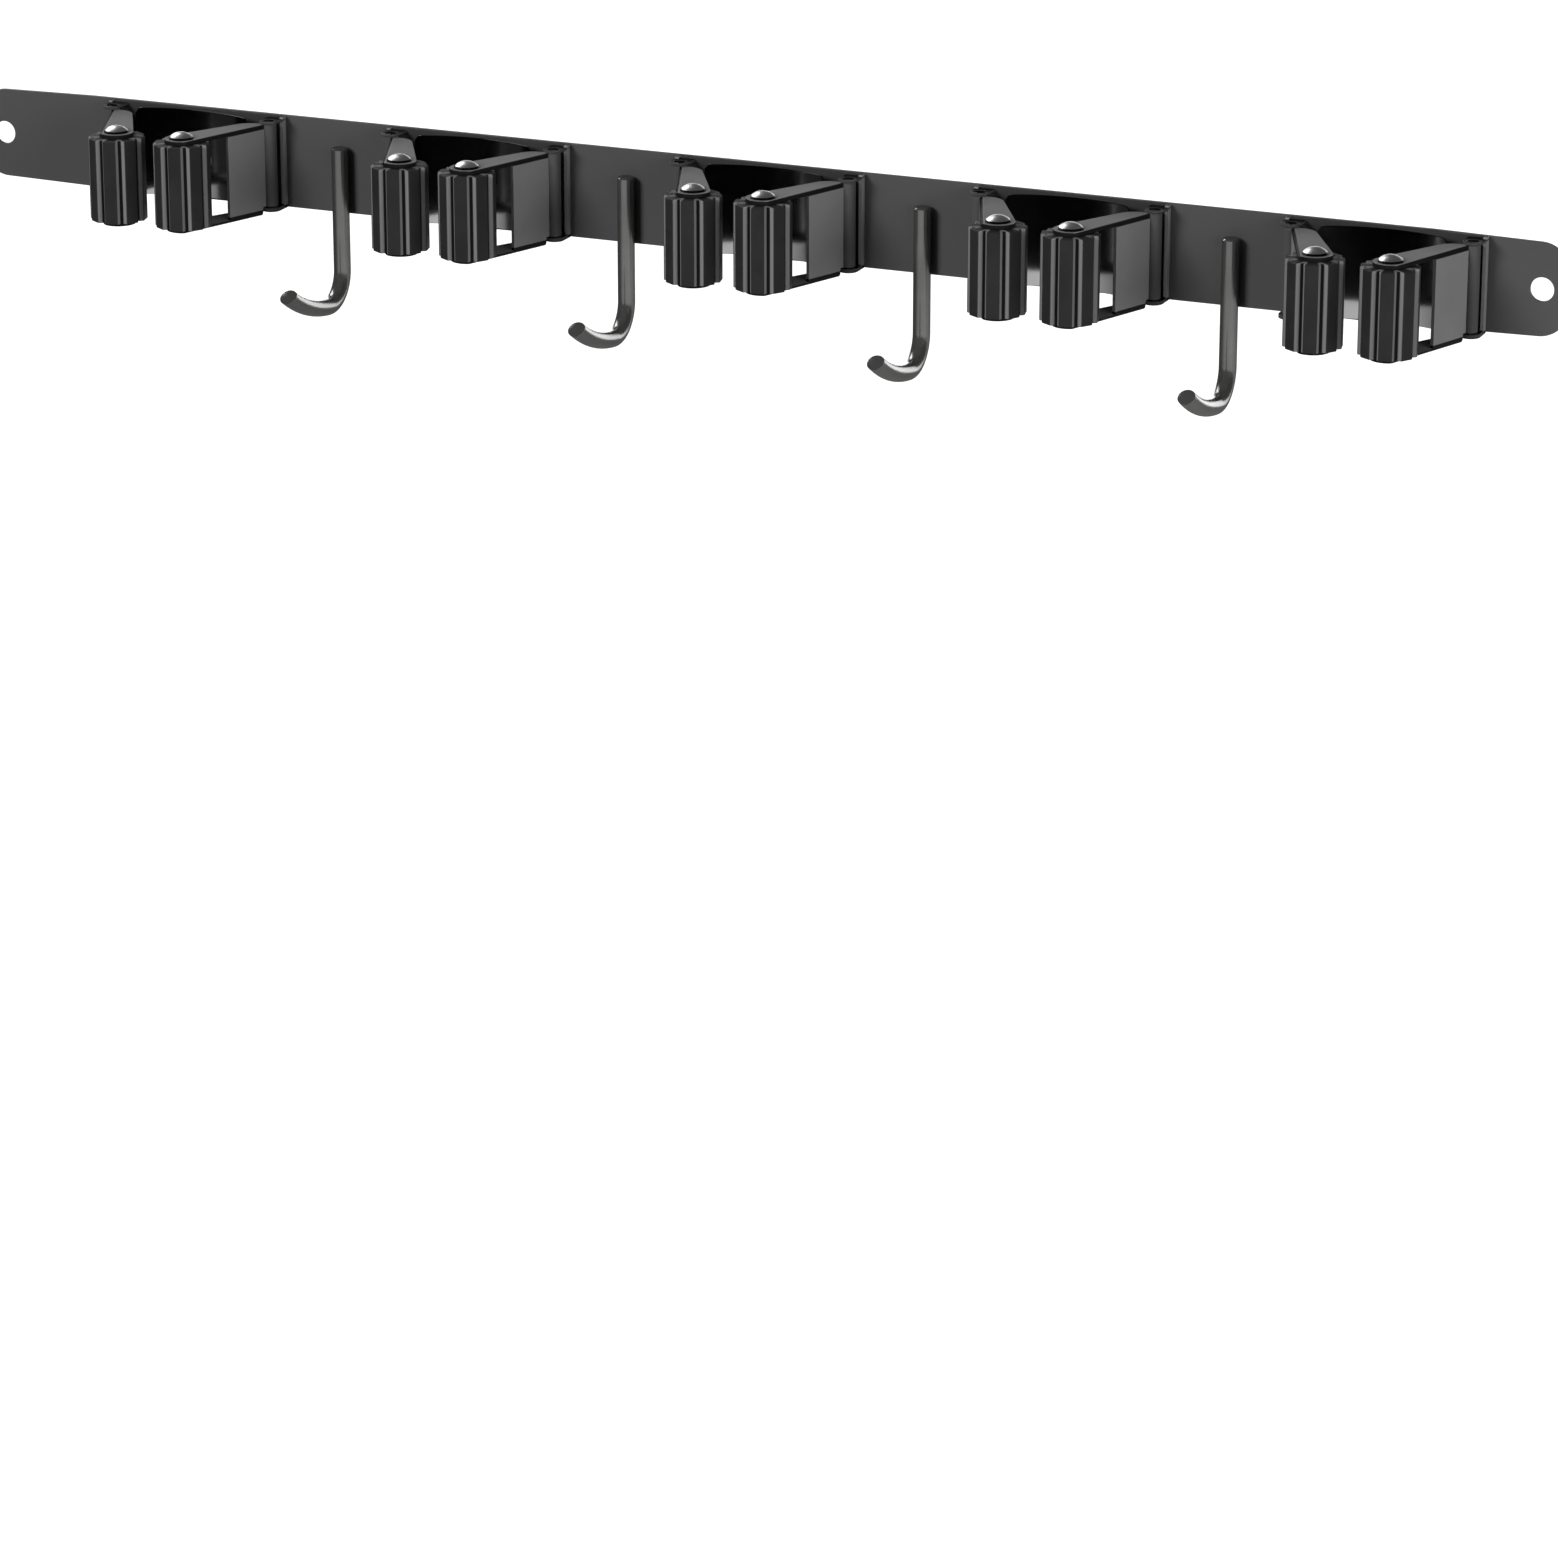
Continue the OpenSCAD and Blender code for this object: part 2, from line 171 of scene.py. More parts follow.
looks = {
    "plateCoat": {"dark": (0.028, 0.028, 0.0285), "light": (0.034, 0.034, 0.0345), "rough": (0.42, 0.5),
                  "cloudScale": 14, "grainScale": 1100, "bump": 0.06, "metal": 0.0, "specular": 0.2},
    "baseCoat": {"dark": (0.080, 0.080, 0.081), "light": (0.096, 0.096, 0.097), "rough": (0.36, 0.46),
                 "cloudScale": 40, "grainScale": 1300, "bump": 0.05, "metal": 0.0, "specular": 0.05,
                 # the mark paints shade: hinge holes, ears and the sheet between the flanges
                 "mark": ("shade", (0.002, 0.002, 0.002))},
    "gripCoat": {"dark": (0.080, 0.080, 0.081), "light": (0.096, 0.096, 0.097), "rough": (0.42, 0.5),
                 "cloudScale": 40, "grainScale": 1300, "bump": 0.05, "metal": 0.0, "specular": 0.06,
                 # the mark paints shade on the arms' folds, lower band, inner wall and curl
                 "mark": ("shade", (0.004, 0.004, 0.004))},
    "rodCoat": {"dark": (0.14, 0.139, 0.136), "light": (0.18, 0.179, 0.176), "rough": (0.22, 0.26),
                "cloudScale": 60, "grainScale": 1000, "bump": 0.005, "metal": 0.9},
    "springSteel": {"dark": (0.4, 0.4, 0.405), "light": (0.46, 0.46, 0.465), "rough": (0.09, 0.12),
                    "cloudScale": 50, "grainScale": 420, "grainShare": 0.05, "stretch": (0.08, 1, 1),
                    # the mark paints shade on the strip's top and bottom edges
                    "bump": 0.003, "metal": 1.0, "mark": ("shade", (0.01, 0.01, 0.01))},
    # dark steel; its dark pin tops also stand as painted shade in the hinge holes
    "pinSteelWithHoleShade": {"dark": (0.03, 0.03, 0.031), "light": (0.06, 0.06, 0.062), "rough": (0.3, 0.45),
                 "cloudScale": 200, "grainScale": 1500, "bump": 0.05, "metal": 0.8},
    "brightSteel": {"dark": (0.66, 0.66, 0.67), "light": (0.8, 0.8, 0.81), "rough": (0.36, 0.42),
                    "cloudScale": 180, "grainScale": 1600, "bump": 0.02, "metal": 1.0,
                    # the mark paints a shadow on the roller pins' dome rims
                    "mark": ("shade", (0.01, 0.01, 0.01))},
    "rollerRubber": {"dark": (0.0075, 0.0075, 0.0078), "light": (0.011, 0.011, 0.0114),
                     "rough": (0.44, 0.54), "cloudScale": 90, "grainScale": 1300, "bump": 0.05,
                     "metal": 0.0, "specular": 0.12,
                     # painted light on the grooves: the flanks lighter as a painted highlight, the groove
                     # floors darker as painted shade
                     "mark": ("grooveDepth", (0.075, 0.075, 0.076), (0.0015, 0.0015, 0.0015))},
}
finishes = {name: finish(name, look) for name, look in looks.items()}
print("finishes made:", len(finishes))

# how meshes are closed and smoothed: weld in metres, angles in degrees
meshRule = {"weld": 1e-6, "sharp": 20, "turnedSharp": 40, "edgeSegments": 2, "edgeAngle": 40}


def newPiece(name, data):
    piece = bpy.data.objects.new(name, data)
    scene.collection.objects.link(piece)
    return piece


def smoothed(mesh, sharp):
    # smooth faces, with edges kept that are sharper than the angle
    mesh.shade_smooth()
    mesh.set_sharp_from_angle(angle=math.radians(sharp))
    return mesh


def meshOf(bm, name, sharp=meshRule["sharp"]):
    # closes seams and turns faces outwards
    bmesh.ops.remove_doubles(bm, verts=bm.verts, dist=meshRule["weld"])
    bmesh.ops.recalc_face_normals(bm, faces=bm.faces)
    mesh = bpy.data.meshes.new(name)
    bm.to_mesh(mesh)
    bm.free()
    return smoothed(mesh, sharp)


def inMetres(bm):
    bmesh.ops.scale(bm, vec=(mm, mm, mm), verts=bm.verts)
    return bm


def solid(name, bm):
    # a piece from a shape drawn in millimetres
    return newPiece(name, meshOf(inMetres(bm), name))


def bake(piece, sharp=meshRule["sharp"]):
    # the evaluated piece as a plain mesh, its modifiers gone
    graph = bpy.context.evaluated_depsgraph_get()
    mesh = bpy.data.meshes.new_from_object(piece.evaluated_get(graph))
    piece.modifiers.clear()
    bm = bmesh.new()
    bm.from_mesh(mesh)
    bpy.data.meshes.remove(mesh)
    return meshOf(bm, piece.name, sharp)


def dropPiece(piece):
    data = piece.data
    bpy.data.objects.remove(piece)
    if data.users == 0:
        (bpy.data.curves if isinstance(data, bpy.types.Curve) else bpy.data.meshes).remove(data)


def prism(outline, low, high):
    bm = bmesh.new()
    bottom = [bm.verts.new((x, y, low)) for x, y in outline]
    top = [bm.verts.new((x, y, high)) for x, y in outline]
    bm.faces.new(bottom)
    bm.faces.new(top)
    for i in range(len(outline)):
        j = (i + 1) % len(outline)
        bm.faces.new((bottom[i], bottom[j], top[j], top[i]))
    bmesh.ops.recalc_face_normals(bm, faces=bm.faces)
    return bm


def lathe(profile, steps):
    # turns a profile of (radius, height) about Z; a zero radius closes the pole
    bm = bmesh.new()
    rings = []
    for radius, height in profile:
        turns = [2 * math.pi * k / steps for k in range(steps if radius else 1)]
        rings.append([bm.verts.new((radius * math.cos(a), radius * math.sin(a), height)) for a in turns])
    for a, b in zip(rings, rings[1:]):
        for k in range(steps):
            m = (k + 1) % steps
            corners = list(dict.fromkeys([a[k % len(a)], a[m % len(a)], b[m % len(b)], b[k % len(b)]]))
            if len(corners) > 2:
                bm.faces.new(corners)
    return bm


def cylinder(radius, low, high, steps):
    return lathe([(0, low), (radius, low), (radius, high), (0, high)], steps)


def arc(cx, cy, r, start, end, steps):
    turns = [math.radians(start + (end - start) * k / steps) for k in range(steps + 1)]
    return [(cx + r * math.cos(a), cy + r * math.sin(a)) for a in turns]


def roundEdges(piece, width, angle=meshRule["edgeAngle"]):
    mod = piece.modifiers.new("edges", "BEVEL")
    mod.width = width * mm
    mod.segments = meshRule["edgeSegments"]
    mod.limit_method = "ANGLE"
    mod.angle_limit = math.radians(angle)


def cut(piece, tool, operation):
    mod = piece.modifiers.new("cut", "BOOLEAN")
    mod.operation = operation
    mod.object = tool
    mod.solver = "EXACT"
    mesh = bake(piece)
    old = piece.data
    piece.data = mesh
    bpy.data.meshes.remove(old)
    dropPiece(tool)


def settle(piece, body, nodes, look):
    piece.data.materials.clear()
    piece.data.materials.append(finishes[look])
    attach(piece, body)
    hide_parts(*nodes)


def shade(mesh, test):
    # stores how much painted shade each face gets, for the dark of a hole, a rim or a curl
    spots = mesh.attributes.new("shade", "FLOAT", "FACE")
    for face, spot in zip(mesh.polygons, spots.data):
        spot.value = float(test(face))


def mirrored(mesh):
    # the same shape for the left side
    copy = mesh.copy()
    copy.transform(Matrix.Scale(-1, 4, (1, 0, 0)))
    copy.flip_normals()
    return copy


def copyAt(mesh, name, place, mirror=False):
    copy = mirrored(mesh) if mirror else mesh.copy()
    copy.name = name
    copy.transform(Matrix.Translation([v * mm for v in place]))
    return newPiece(name, copy)


# back plate: one flat strip, tapered and rounded at its ends, with a hole at each end
plate = {"length": 508, "height": 28.5, "thick": 1.2, "cornerR": 9, "drop": 0.6, "taper": 40,
         "holeD": 7, "holeInset": 8.2, "edge": 0.2, "edgeSteps": 1, "cornerSteps": 16, "holeSteps": 48}


def plateOutline():
    endX, endZ = plate["length"] / 2, plate["height"] / 2 - plate["drop"]
    r, midX = plate["cornerR"], plate["length"] / 2 - plate["taper"]
    half = [(midX, plate["height"] / 2)] + arc(endX - r, endZ - r, r, 90, 0, plate["cornerSteps"])
    right = half + [(x, -y) for x, y in reversed(half)]
    return right + [(-x, -y) for x, y in right]


def plateHoles():
    x = plate["length"] / 2 - plate["holeInset"]
    return [arc(s * x, 0, plate["holeD"] / 2, 0, 360, plate["holeSteps"])[:-1] for s in (-1, 1)]


def plateSheet():
    # a filled flat curve with broken edges, stood up against the wall
    curve = bpy.data.curves.new("backPlate", "CURVE")
    curve.dimensions = "2D"
    curve.fill_mode = "BOTH"
    curve.extrude = (plate["thick"] / 2 - plate["edge"]) * mm
    curve.bevel_depth = plate["edge"] * mm
    curve.bevel_resolution = plate["edgeSteps"]
    curve.offset = -plate["edge"] * mm
    for loop in [plateOutline()] + plateHoles():
        spline = curve.splines.new("POLY")
        spline.points.add(len(loop) - 1)
        for point, (x, y) in zip(spline.points, loop):
            point.co = (x * mm, y * mm, 0, 1)
        spline.use_cyclic_u = True
    holder = newPiece("backPlate", curve)
    mesh = bake(holder)
    dropPiece(holder)
    forward = Matrix.Translation((0, -plate["thick"] / 2 * mm, 0))
    mesh.transform(forward @ Matrix.Rotation(math.pi / 2, 4, "X"))
    return mesh


settle(newPiece("backPlate", plateSheet()), "rack", ["back_plate"], "plateCoat")
print("plate made")

# hooks: a rod swept along a J, with a small round at the top end and a slanted cut at the tip
hook = {"rodD": 5.2, "top": 6.5, "stemPoints": (2, -6, -14, -22, -28), "drop": 31.1,
        "bendR": 9.4, "bend": 97.5, "bendSteps": 36, "curveR": 63, "curve": 25, "curveSteps": 24,
        "pastCut": 4.5, "cut": 23, "cutReach": 3, "endRound": 0.45, "tipShare": 0.6, "tipSegments": 2,
        "sides": 40}


def hookLine():
    # the stem's distance from the wall, the angles where bend and curve end, and the curve's centre
    y, swing = -plate["thick"] - hook["rodD"] / 2, hook["bendR"] - hook["curveR"]
    bend, last = math.radians(hook["bend"]), math.radians(hook["bend"] + hook["curve"])
    centre = (y - hook["bendR"] + swing * math.cos(bend), -hook["drop"] - swing * math.sin(bend))
    return {"y": y, "bend": bend, "last": last, "centre": centre}


def hookPath():
    # stem, tight bend, then a gentle curve that runs past the slanted cut
    line = hookLine()
    y, bend, (centreY, centreZ) = line["y"], line["bend"], line["centre"]
    r, big = hook["bendR"], hook["curveR"]
    points = [(y, z) for z in (hook["top"], hook["top"] - hook["endRound"], *hook["stemPoints"])]
    turns = [bend * k / hook["bendSteps"] for k in range(hook["bendSteps"] + 1)]
    points += [(y - r + r * math.cos(a), -hook["drop"] - r * math.sin(a)) for a in turns]
    run = line["last"] + math.radians(hook["pastCut"]) - bend
    turns = [bend + run * k / hook["curveSteps"] for k in range(1, hook["curveSteps"] + 1)]
    return points + [(centreY + big * math.cos(a), centreZ - big * math.sin(a)) for a in turns]


def sweepTree():
    tree = bpy.data.node_groups.new("rodSweep", "GeometryNodeTree")
    face = tree.interface
    face.new_socket("Path", in_out="INPUT", socket_type="NodeSocketGeometry")
    ids = {}
    for name, kind in (("Rod Radius", "Float"), ("Sides", "Int"), ("Finish", "Material")):
        ids[name] = face.new_socket(name, in_out="INPUT", socket_type="NodeSocket" + kind).identifier
    face.new_socket("Rod", in_out="OUTPUT", socket_type="NodeSocketGeometry")
    start = addNode(tree, "NodeGroupInput")
    ring = addNode(tree, "GeometryNodeCurvePrimitiveCircle")
    size = addNode(tree, "GeometryNodeInputRadius")
    sweep = addNode(tree, "GeometryNodeCurveToMesh")
    sweep.inputs["Fill Caps"].default_value = True
    real = addNode(tree, "GeometryNodeRealizeInstances")
    paint = addNode(tree, "GeometryNodeSetMaterial")
    end = addNode(tree, "NodeGroupOutput")
    link = tree.links.new
    link(start.outputs["Rod Radius"], ring.inputs["Radius"])
    link(start.outputs["Sides"], ring.inputs["Resolution"])
    link(start.outputs["Path"], sweep.inputs["Curve"])
    link(ring.outputs["Curve"], sweep.inputs["Profile Curve"])
    link(size.outputs["Radius"], sweep.inputs["Scale"])
    link(sweep.outputs["Mesh"], real.inputs["Geometry"])
    link(real.outputs["Geometry"], paint.inputs["Geometry"])
    link(start.outputs["Finish"], paint.inputs["Material"])
    link(paint.outputs["Geometry"], end.inputs["Rod"])
    return tree, ids


def sweptRod(name, path, x):
    curve = bpy.data.curves.new(name, "CURVE")
    curve.dimensions = "3D"
    spline = curve.splines.new("POLY")
    spline.points.add(len(path) - 1)
    for point, (y, z) in zip(spline.points, path):
        point.co = (x * mm, y * mm, z * mm, 1)
    spline.points[0].radius = 1 - hook["endRound"] / (hook["rodD"] / 2)
    holder = newPiece(name, curve)
    tree, ids = rodTree
    mod = holder.modifiers.new("sweep", "NODES")
    mod.node_group = tree
    mod[ids["Rod Radius"]] = hook["rodD"] / 2 * mm
    mod[ids["Sides"]] = hook["sides"]
    mod[ids["Finish"]] = finishes["rodCoat"]
    mesh = bake(holder, meshRule["turnedSharp"])
    dropPiece(holder)
    return slantEnd(newPiece(name, mesh), x)


def slantEnd(piece, x):
    # cuts the rod's end on the slant and breaks the new edge
    line = hookLine()
    last, big, (centreY, centreZ) = line["last"], hook["curveR"], line["centre"]
    tip = Vector((x, centreY + big * math.cos(last), centreZ - big * math.sin(last))) * mm
    slant = last + math.radians(hook["cut"])
    away = Vector((0, -math.sin(slant), -math.cos(slant)))
    bm = bmesh.new()
    bm.from_mesh(piece.data)
    near = {v for v in bm.verts if (v.co - tip).length < hook["cutReach"] * hook["rodD"] * mm}
    parts = [v for v in bm.verts if v in near]
    parts += [p for p in bm.edges[:] + bm.faces[:] if all(v in near for v in p.verts)]
    sliced = bmesh.ops.bisect_plane(bm, geom=parts, plane_co=tip, plane_no=away, clear_outer=True)
    rim = [e for e in sliced["geom_cut"] if isinstance(e, bmesh.types.BMEdge)]
    bmesh.ops.contextual_create(bm, geom=rim)
    bmesh.ops.bevel(bm, geom=rim, offset=hook["endRound"] * hook["tipShare"] * mm,
                    segments=hook["tipSegments"], affect="EDGES", profile=0.5)
    old = piece.data
    piece.data = meshOf(bm, piece.name, meshRule["turnedSharp"])
    bpy.data.meshes.remove(old)
    return piece


rodTree = sweepTree()
for i, x in enumerate(hookX, 1):
    settle(sweptRod("hook%d" % i, hookPath(), x), "rack", ["hook_%d" % i], "rodCoat")
print("hooks made:", len(hookX))

# clip base: sheet folded into two low side flanges, with four hinge ears; painted shade of 1 is darkest
base = {"width": 59.6, "height": 28.2, "sheet": 1.2, "flange": 2.8, "hingeReach": 6, "earR": 3,
        "foldR": 1.1, "innerR": 0.3, "edge": 0.18, "topEar": (0.5, 1.1), "mouthR": 1.7, "boreR": 1.24,
        "past": 1, "foldSteps": 6, "innerSteps": 4, "earSteps": 20, "boreSteps": 32,
        "mouthShade": 1, "earShade": 0.65, "bodyShade": 0.7, "flangeShade": 0.1,
        "mouthSlack": 0.05, "bodySlack": 0.02}
hingeX = base["width"] / 2 - base["earR"]
hingeY = -plate["thick"] - base["hingeReach"]
earTop = base["height"] / 2


def basePlan():
    half, back, t, r = base["width"] / 2, -plate["thick"], base["sheet"], base["foldR"]
    inner, tip = base["innerR"], back - base["flange"]
    right = [(half - t, tip), (half, tip)] + arc(half - r, back - r, r, 0, 90, base["foldSteps"])
    lip = arc(half - t - inner, back - t - inner, inner, 90, 0, base["innerSteps"])
    return right + [(-x, y) for x, y in reversed(right)] + [(-x, y) for x, y in reversed(lip)] + lip


def earPair(low, high, boreR):
    # one hinge ear with its hole, and its twin
    r, rear = base["earR"], -plate["thick"] - base["sheet"] / 2
    plan = [(hingeX + r, rear), (hingeX - r, rear)] + arc(hingeX, hingeY, r, 180, 360, base["earSteps"])
    ear = solid("ear", prism(plan, low, high))
    bore = solid("bore", cylinder(boreR, low - base["past"], high + base["past"], base["boreSteps"]))
    bore.data.transform(Matrix.Translation((hingeX * mm, hingeY * mm, 0)))
    cut(ear, bore, "DIFFERENCE")
    roundEdges(ear, base["edge"])
    mesh = bake(ear)
    dropPiece(ear)
    return [mesh, mirrored(mesh)]


# painted shade: the hinge holes black, the ears and the sheet between the flanges darkened, the flanges
# hardly at all
def basePaintedShade(face):
    x, y = (face.center / mm).xy
    if math.hypot(abs(x) - hingeX, y - hingeY) < base["mouthR"] + base["mouthSlack"]:
        return base["mouthShade"]
    if y < -plate["thick"] - base["flange"]:
        return base["earShade"]
    onBody = abs(x) < base["width"] / 2 - base["sheet"] + base["bodySlack"]
    return base["bodyShade"] if onBody else base["flangeShade"]


def clipBase():
    sheet = solid("clipBase", prism(basePlan(), -earTop, earTop))
    roundEdges(sheet, base["edge"])
    parts = [bake(sheet)]
    dropPiece(sheet)
    upper, lower = base["topEar"]
    parts += earPair(earTop - lower, earTop - upper, base["mouthR"])
    parts += earPair(-earTop, -earTop + base["sheet"], base["boreR"])
    bm = bmesh.new()
    for part in parts:
        bm.from_mesh(part)
        bpy.data.meshes.remove(part)
    mesh = bpy.data.meshes.new("clipBase")
    bm.to_mesh(mesh)
    bm.free()
    smoothed(mesh, meshRule["sharp"])
    shade(mesh, basePaintedShade)
    return mesh


baseMesh = clipBase()
for i, x in enumerate(clipX, 1):
    settle(copyAt(baseMesh, "clipBase%d" % i, (x, 0, 0)), "rack", ["clip_base_%d" % i], "baseCoat")
print("clip bases made")

# arms: a folded channel cut to the flap's plan, with a window in front of its wall and a curl at the hinge
arm = {"dip": 1.3, "sheet": 1.1, "foldR": 1.3, "endR": 5.1, "taper": 7.5, "heelReach": 6.8, "heelR": 6,
       "wall": 16.6, "curlR": 2.1, "boreR": 1.26, "gap": 0.3, "swell": 0.1, "edge": 0.12, "edgeAngle": 50,
       "rollerSpacing": 22, "rollerReach": 32.8, "outerRoom": 0.6, "rearRoom": 0.5, "innerLap": (-0.4, -0.2),
       "depth": 30, "run": (-6, 44), "planHeight": (-30, 30), "windowX": (-3, 2), "windowEnd": -60,
       "windowSlack": 0.01, "reliefPast": 1, "borePast": 2, "foldSteps": (8, 6), "heelSteps": 14,
       "endSteps": 40, "curlSteps": 48, "boreSteps": 32, "rim": 1.9, "rimTilt": 0.9, "wallTilt": 0.7,
       "wallSlack": 0.1, "curlShade": 0.6, "curlTilt": 0.5, "curlSlack": 0.05}
rollX, rollY = arm["rollerSpacing"] / 2, -plate["thick"] - arm["rollerReach"]
armTop = earTop - base["sheet"] - arm["gap"]
armBottom = -earTop - arm["dip"]
curlBottom = -earTop + base["sheet"] + arm["gap"]
inset = arm["endR"] - arm["swell"]
reach = math.hypot(hingeX - rollX, hingeY - rollY)
outerTurn = math.atan2(hingeX - rollX, hingeY - rollY) - math.asin(inset / reach)
edgeLength = math.sqrt(reach ** 2 - inset ** 2)


def flapPlan():
    # seen from above, with the hinge at the origin and the outer edge along Y
    taper = math.radians(arm["taper"])
    side = Vector((-math.cos(taper), math.sin(taper)))
    end = Vector((-inset, -edgeLength))
    along = Vector((math.cos(outerTurn), math.sin(outerTurn)))
    toPlate = Vector((-math.sin(outerTurn), math.cos(outerTurn)))
    depth = arm["heelReach"] - base["hingeReach"] + arm["heelR"]
    slide = (inset - arm["heelR"] + end.dot(side) + depth * toPlate.dot(side)) / along.dot(side)
    centre = slide * along - depth * toPlate
    heelEnds = (180 - arm["taper"], 90 + math.degrees(outerTurn))
    heel = arc(centre.x, centre.y, arm["heelR"], *heelEnds, arm["heelSteps"])
    front = arc(end.x, end.y, arm["endR"], 0, -180 - arm["taper"], arm["endSteps"])
    outer = [(arm["outerRoom"], arm["rearRoom"]), (arm["outerRoom"], end.y)]
    return outer + front + heel + [arm["innerLap"], (arm["innerLap"][0], arm["rearRoom"])]


def channelSection():
    # outer line of the folded sheet, then its inner line back
    t, r, deep = arm["sheet"], arm["foldR"], -arm["depth"]
    upper, lower = armTop - r, armBottom + r
    steps, innerSteps = arm["foldSteps"]
    outer = arc(-r, upper, r, 90, 0, steps) + arc(-r, lower, r, 0, -90, steps)
    inner = arc(-r, lower, r - t, -90, 0, innerSteps) + arc(-r, upper, r - t, 0, 90, innerSteps)
    return ([(deep, armTop)] + outer + [(deep, armBottom)]
            + [(deep, armBottom + t)] + inner + [(deep, armTop - t)])


def windowBlock():
    left, right = arm["windowX"]
    far, near, slack = arm["windowEnd"], -arm["wall"], arm["windowSlack"]
    plan = [(left, far), (right, far), (right, near), (left, near)]
    return prism(plan, armBottom + arm["sheet"] - slack, armTop - arm["sheet"] + slack)


def splitAtRim(mesh):
    # parts the wall above its lower band of painted shade
    bm = bmesh.new()
    bm.from_mesh(mesh)
    bmesh.ops.bisect_plane(bm, geom=bm.verts[:] + bm.edges[:] + bm.faces[:],
                           plane_co=(0, 0, (armBottom + arm["rim"]) * mm), plane_no=(0, 0, 1))
    bm.to_mesh(mesh)
    bm.free()


# painted shade: the top fold and the lower band of the wall black, the wall's inner face black, the curl at
# the hinge darkened
def armPaintedShade(face):
    x, y, z = face.center / mm
    tilt = abs(face.normal.z)
    if tilt < arm["rimTilt"] and (armTop - z < arm["foldR"] or z - armBottom < arm["rim"]):
        return 1
    if face.normal.x < -arm["wallTilt"] and abs(x + arm["sheet"]) < arm["wallSlack"]:
        return 1
    onCurl = math.hypot(x, y) < arm["curlR"] + arm["curlSlack"]
    return arm["curlShade"] if onCurl and tilt < arm["curlTilt"] else 0


def rightArm():
    bm = prism(channelSection(), *arm["run"])
    bm.transform(Matrix.Rotation(math.pi / 2, 4, "X"))
    channel = solid("arm", bm)
    cut(channel, solid("plan", prism(flapPlan(), *arm["planHeight"])), "INTERSECT")
    cut(channel, solid("window", windowBlock()), "DIFFERENCE")
    relief = cylinder(base["earR"] + arm["gap"], armBottom - arm["reliefPast"], curlBottom,
                      arm["curlSteps"])
    cut(channel, solid("relief", relief), "DIFFERENCE")
    cut(channel, solid("curl", cylinder(arm["curlR"], curlBottom, armTop, arm["curlSteps"])), "UNION")
    past = arm["borePast"]
    bore = cylinder(arm["boreR"], armBottom - past, armTop + past, arm["boreSteps"])
    cut(channel, solid("bore", bore), "DIFFERENCE")
    roundEdges(channel, arm["edge"], arm["edgeAngle"])
    mesh = bake(channel)
    dropPiece(channel)
    splitAtRim(mesh)
    shade(mesh, armPaintedShade)
    atHinge = Matrix.Translation((hingeX * mm, hingeY * mm, 0))
    mesh.transform(atHinge @ Matrix.Rotation(-outerTurn, 4, "Z"))
    return mesh


armMesh = rightArm()
for i, x in enumerate(clipX, 1):
    for side, s in sides:
        piece = copyAt(armMesh, "%sArm%d" % (side, i), (x, 0, 0), s < 0)
        settle(piece, "%s_grip_%d" % (side, i), ["%s_arm_%d" % (side, i)], "gripCoat")
print("arms made: triangles in one", sum(len(p.vertices) - 2 for p in armMesh.polygons))

# rollers: a turned rubber body whose grooves are pressed in by rule
roller = {"d": 17.2, "play": 0.2, "ridges": 8, "turn": 34.7, "depth": 1.3, "width": 3.0, "floor": 0.8,
          "round": 0.35, "roundSteps": 5, "hub": 2.1, "core": 4.6, "steps": 256, "sharp": 22,
          "paintedLightReach": 2.5}


def rollerBody():
    r, f, steps = roller["d"] / 2, roller["round"], roller["roundSteps"]
    top = armTop - arm["sheet"] - roller["play"]
    low = armBottom + arm["sheet"] + roller["play"]
    upper = [(roller["hub"], top), (roller["core"], top)] + arc(r - f, top - f, f, 90, 0, steps)
    lower = arc(r - f, low + f, f, 0, -90, steps) + [(roller["core"], low), (roller["hub"], low)]
    bore = [(roller["hub"], top)]
    return lathe(upper + lower + bore, roller["steps"])


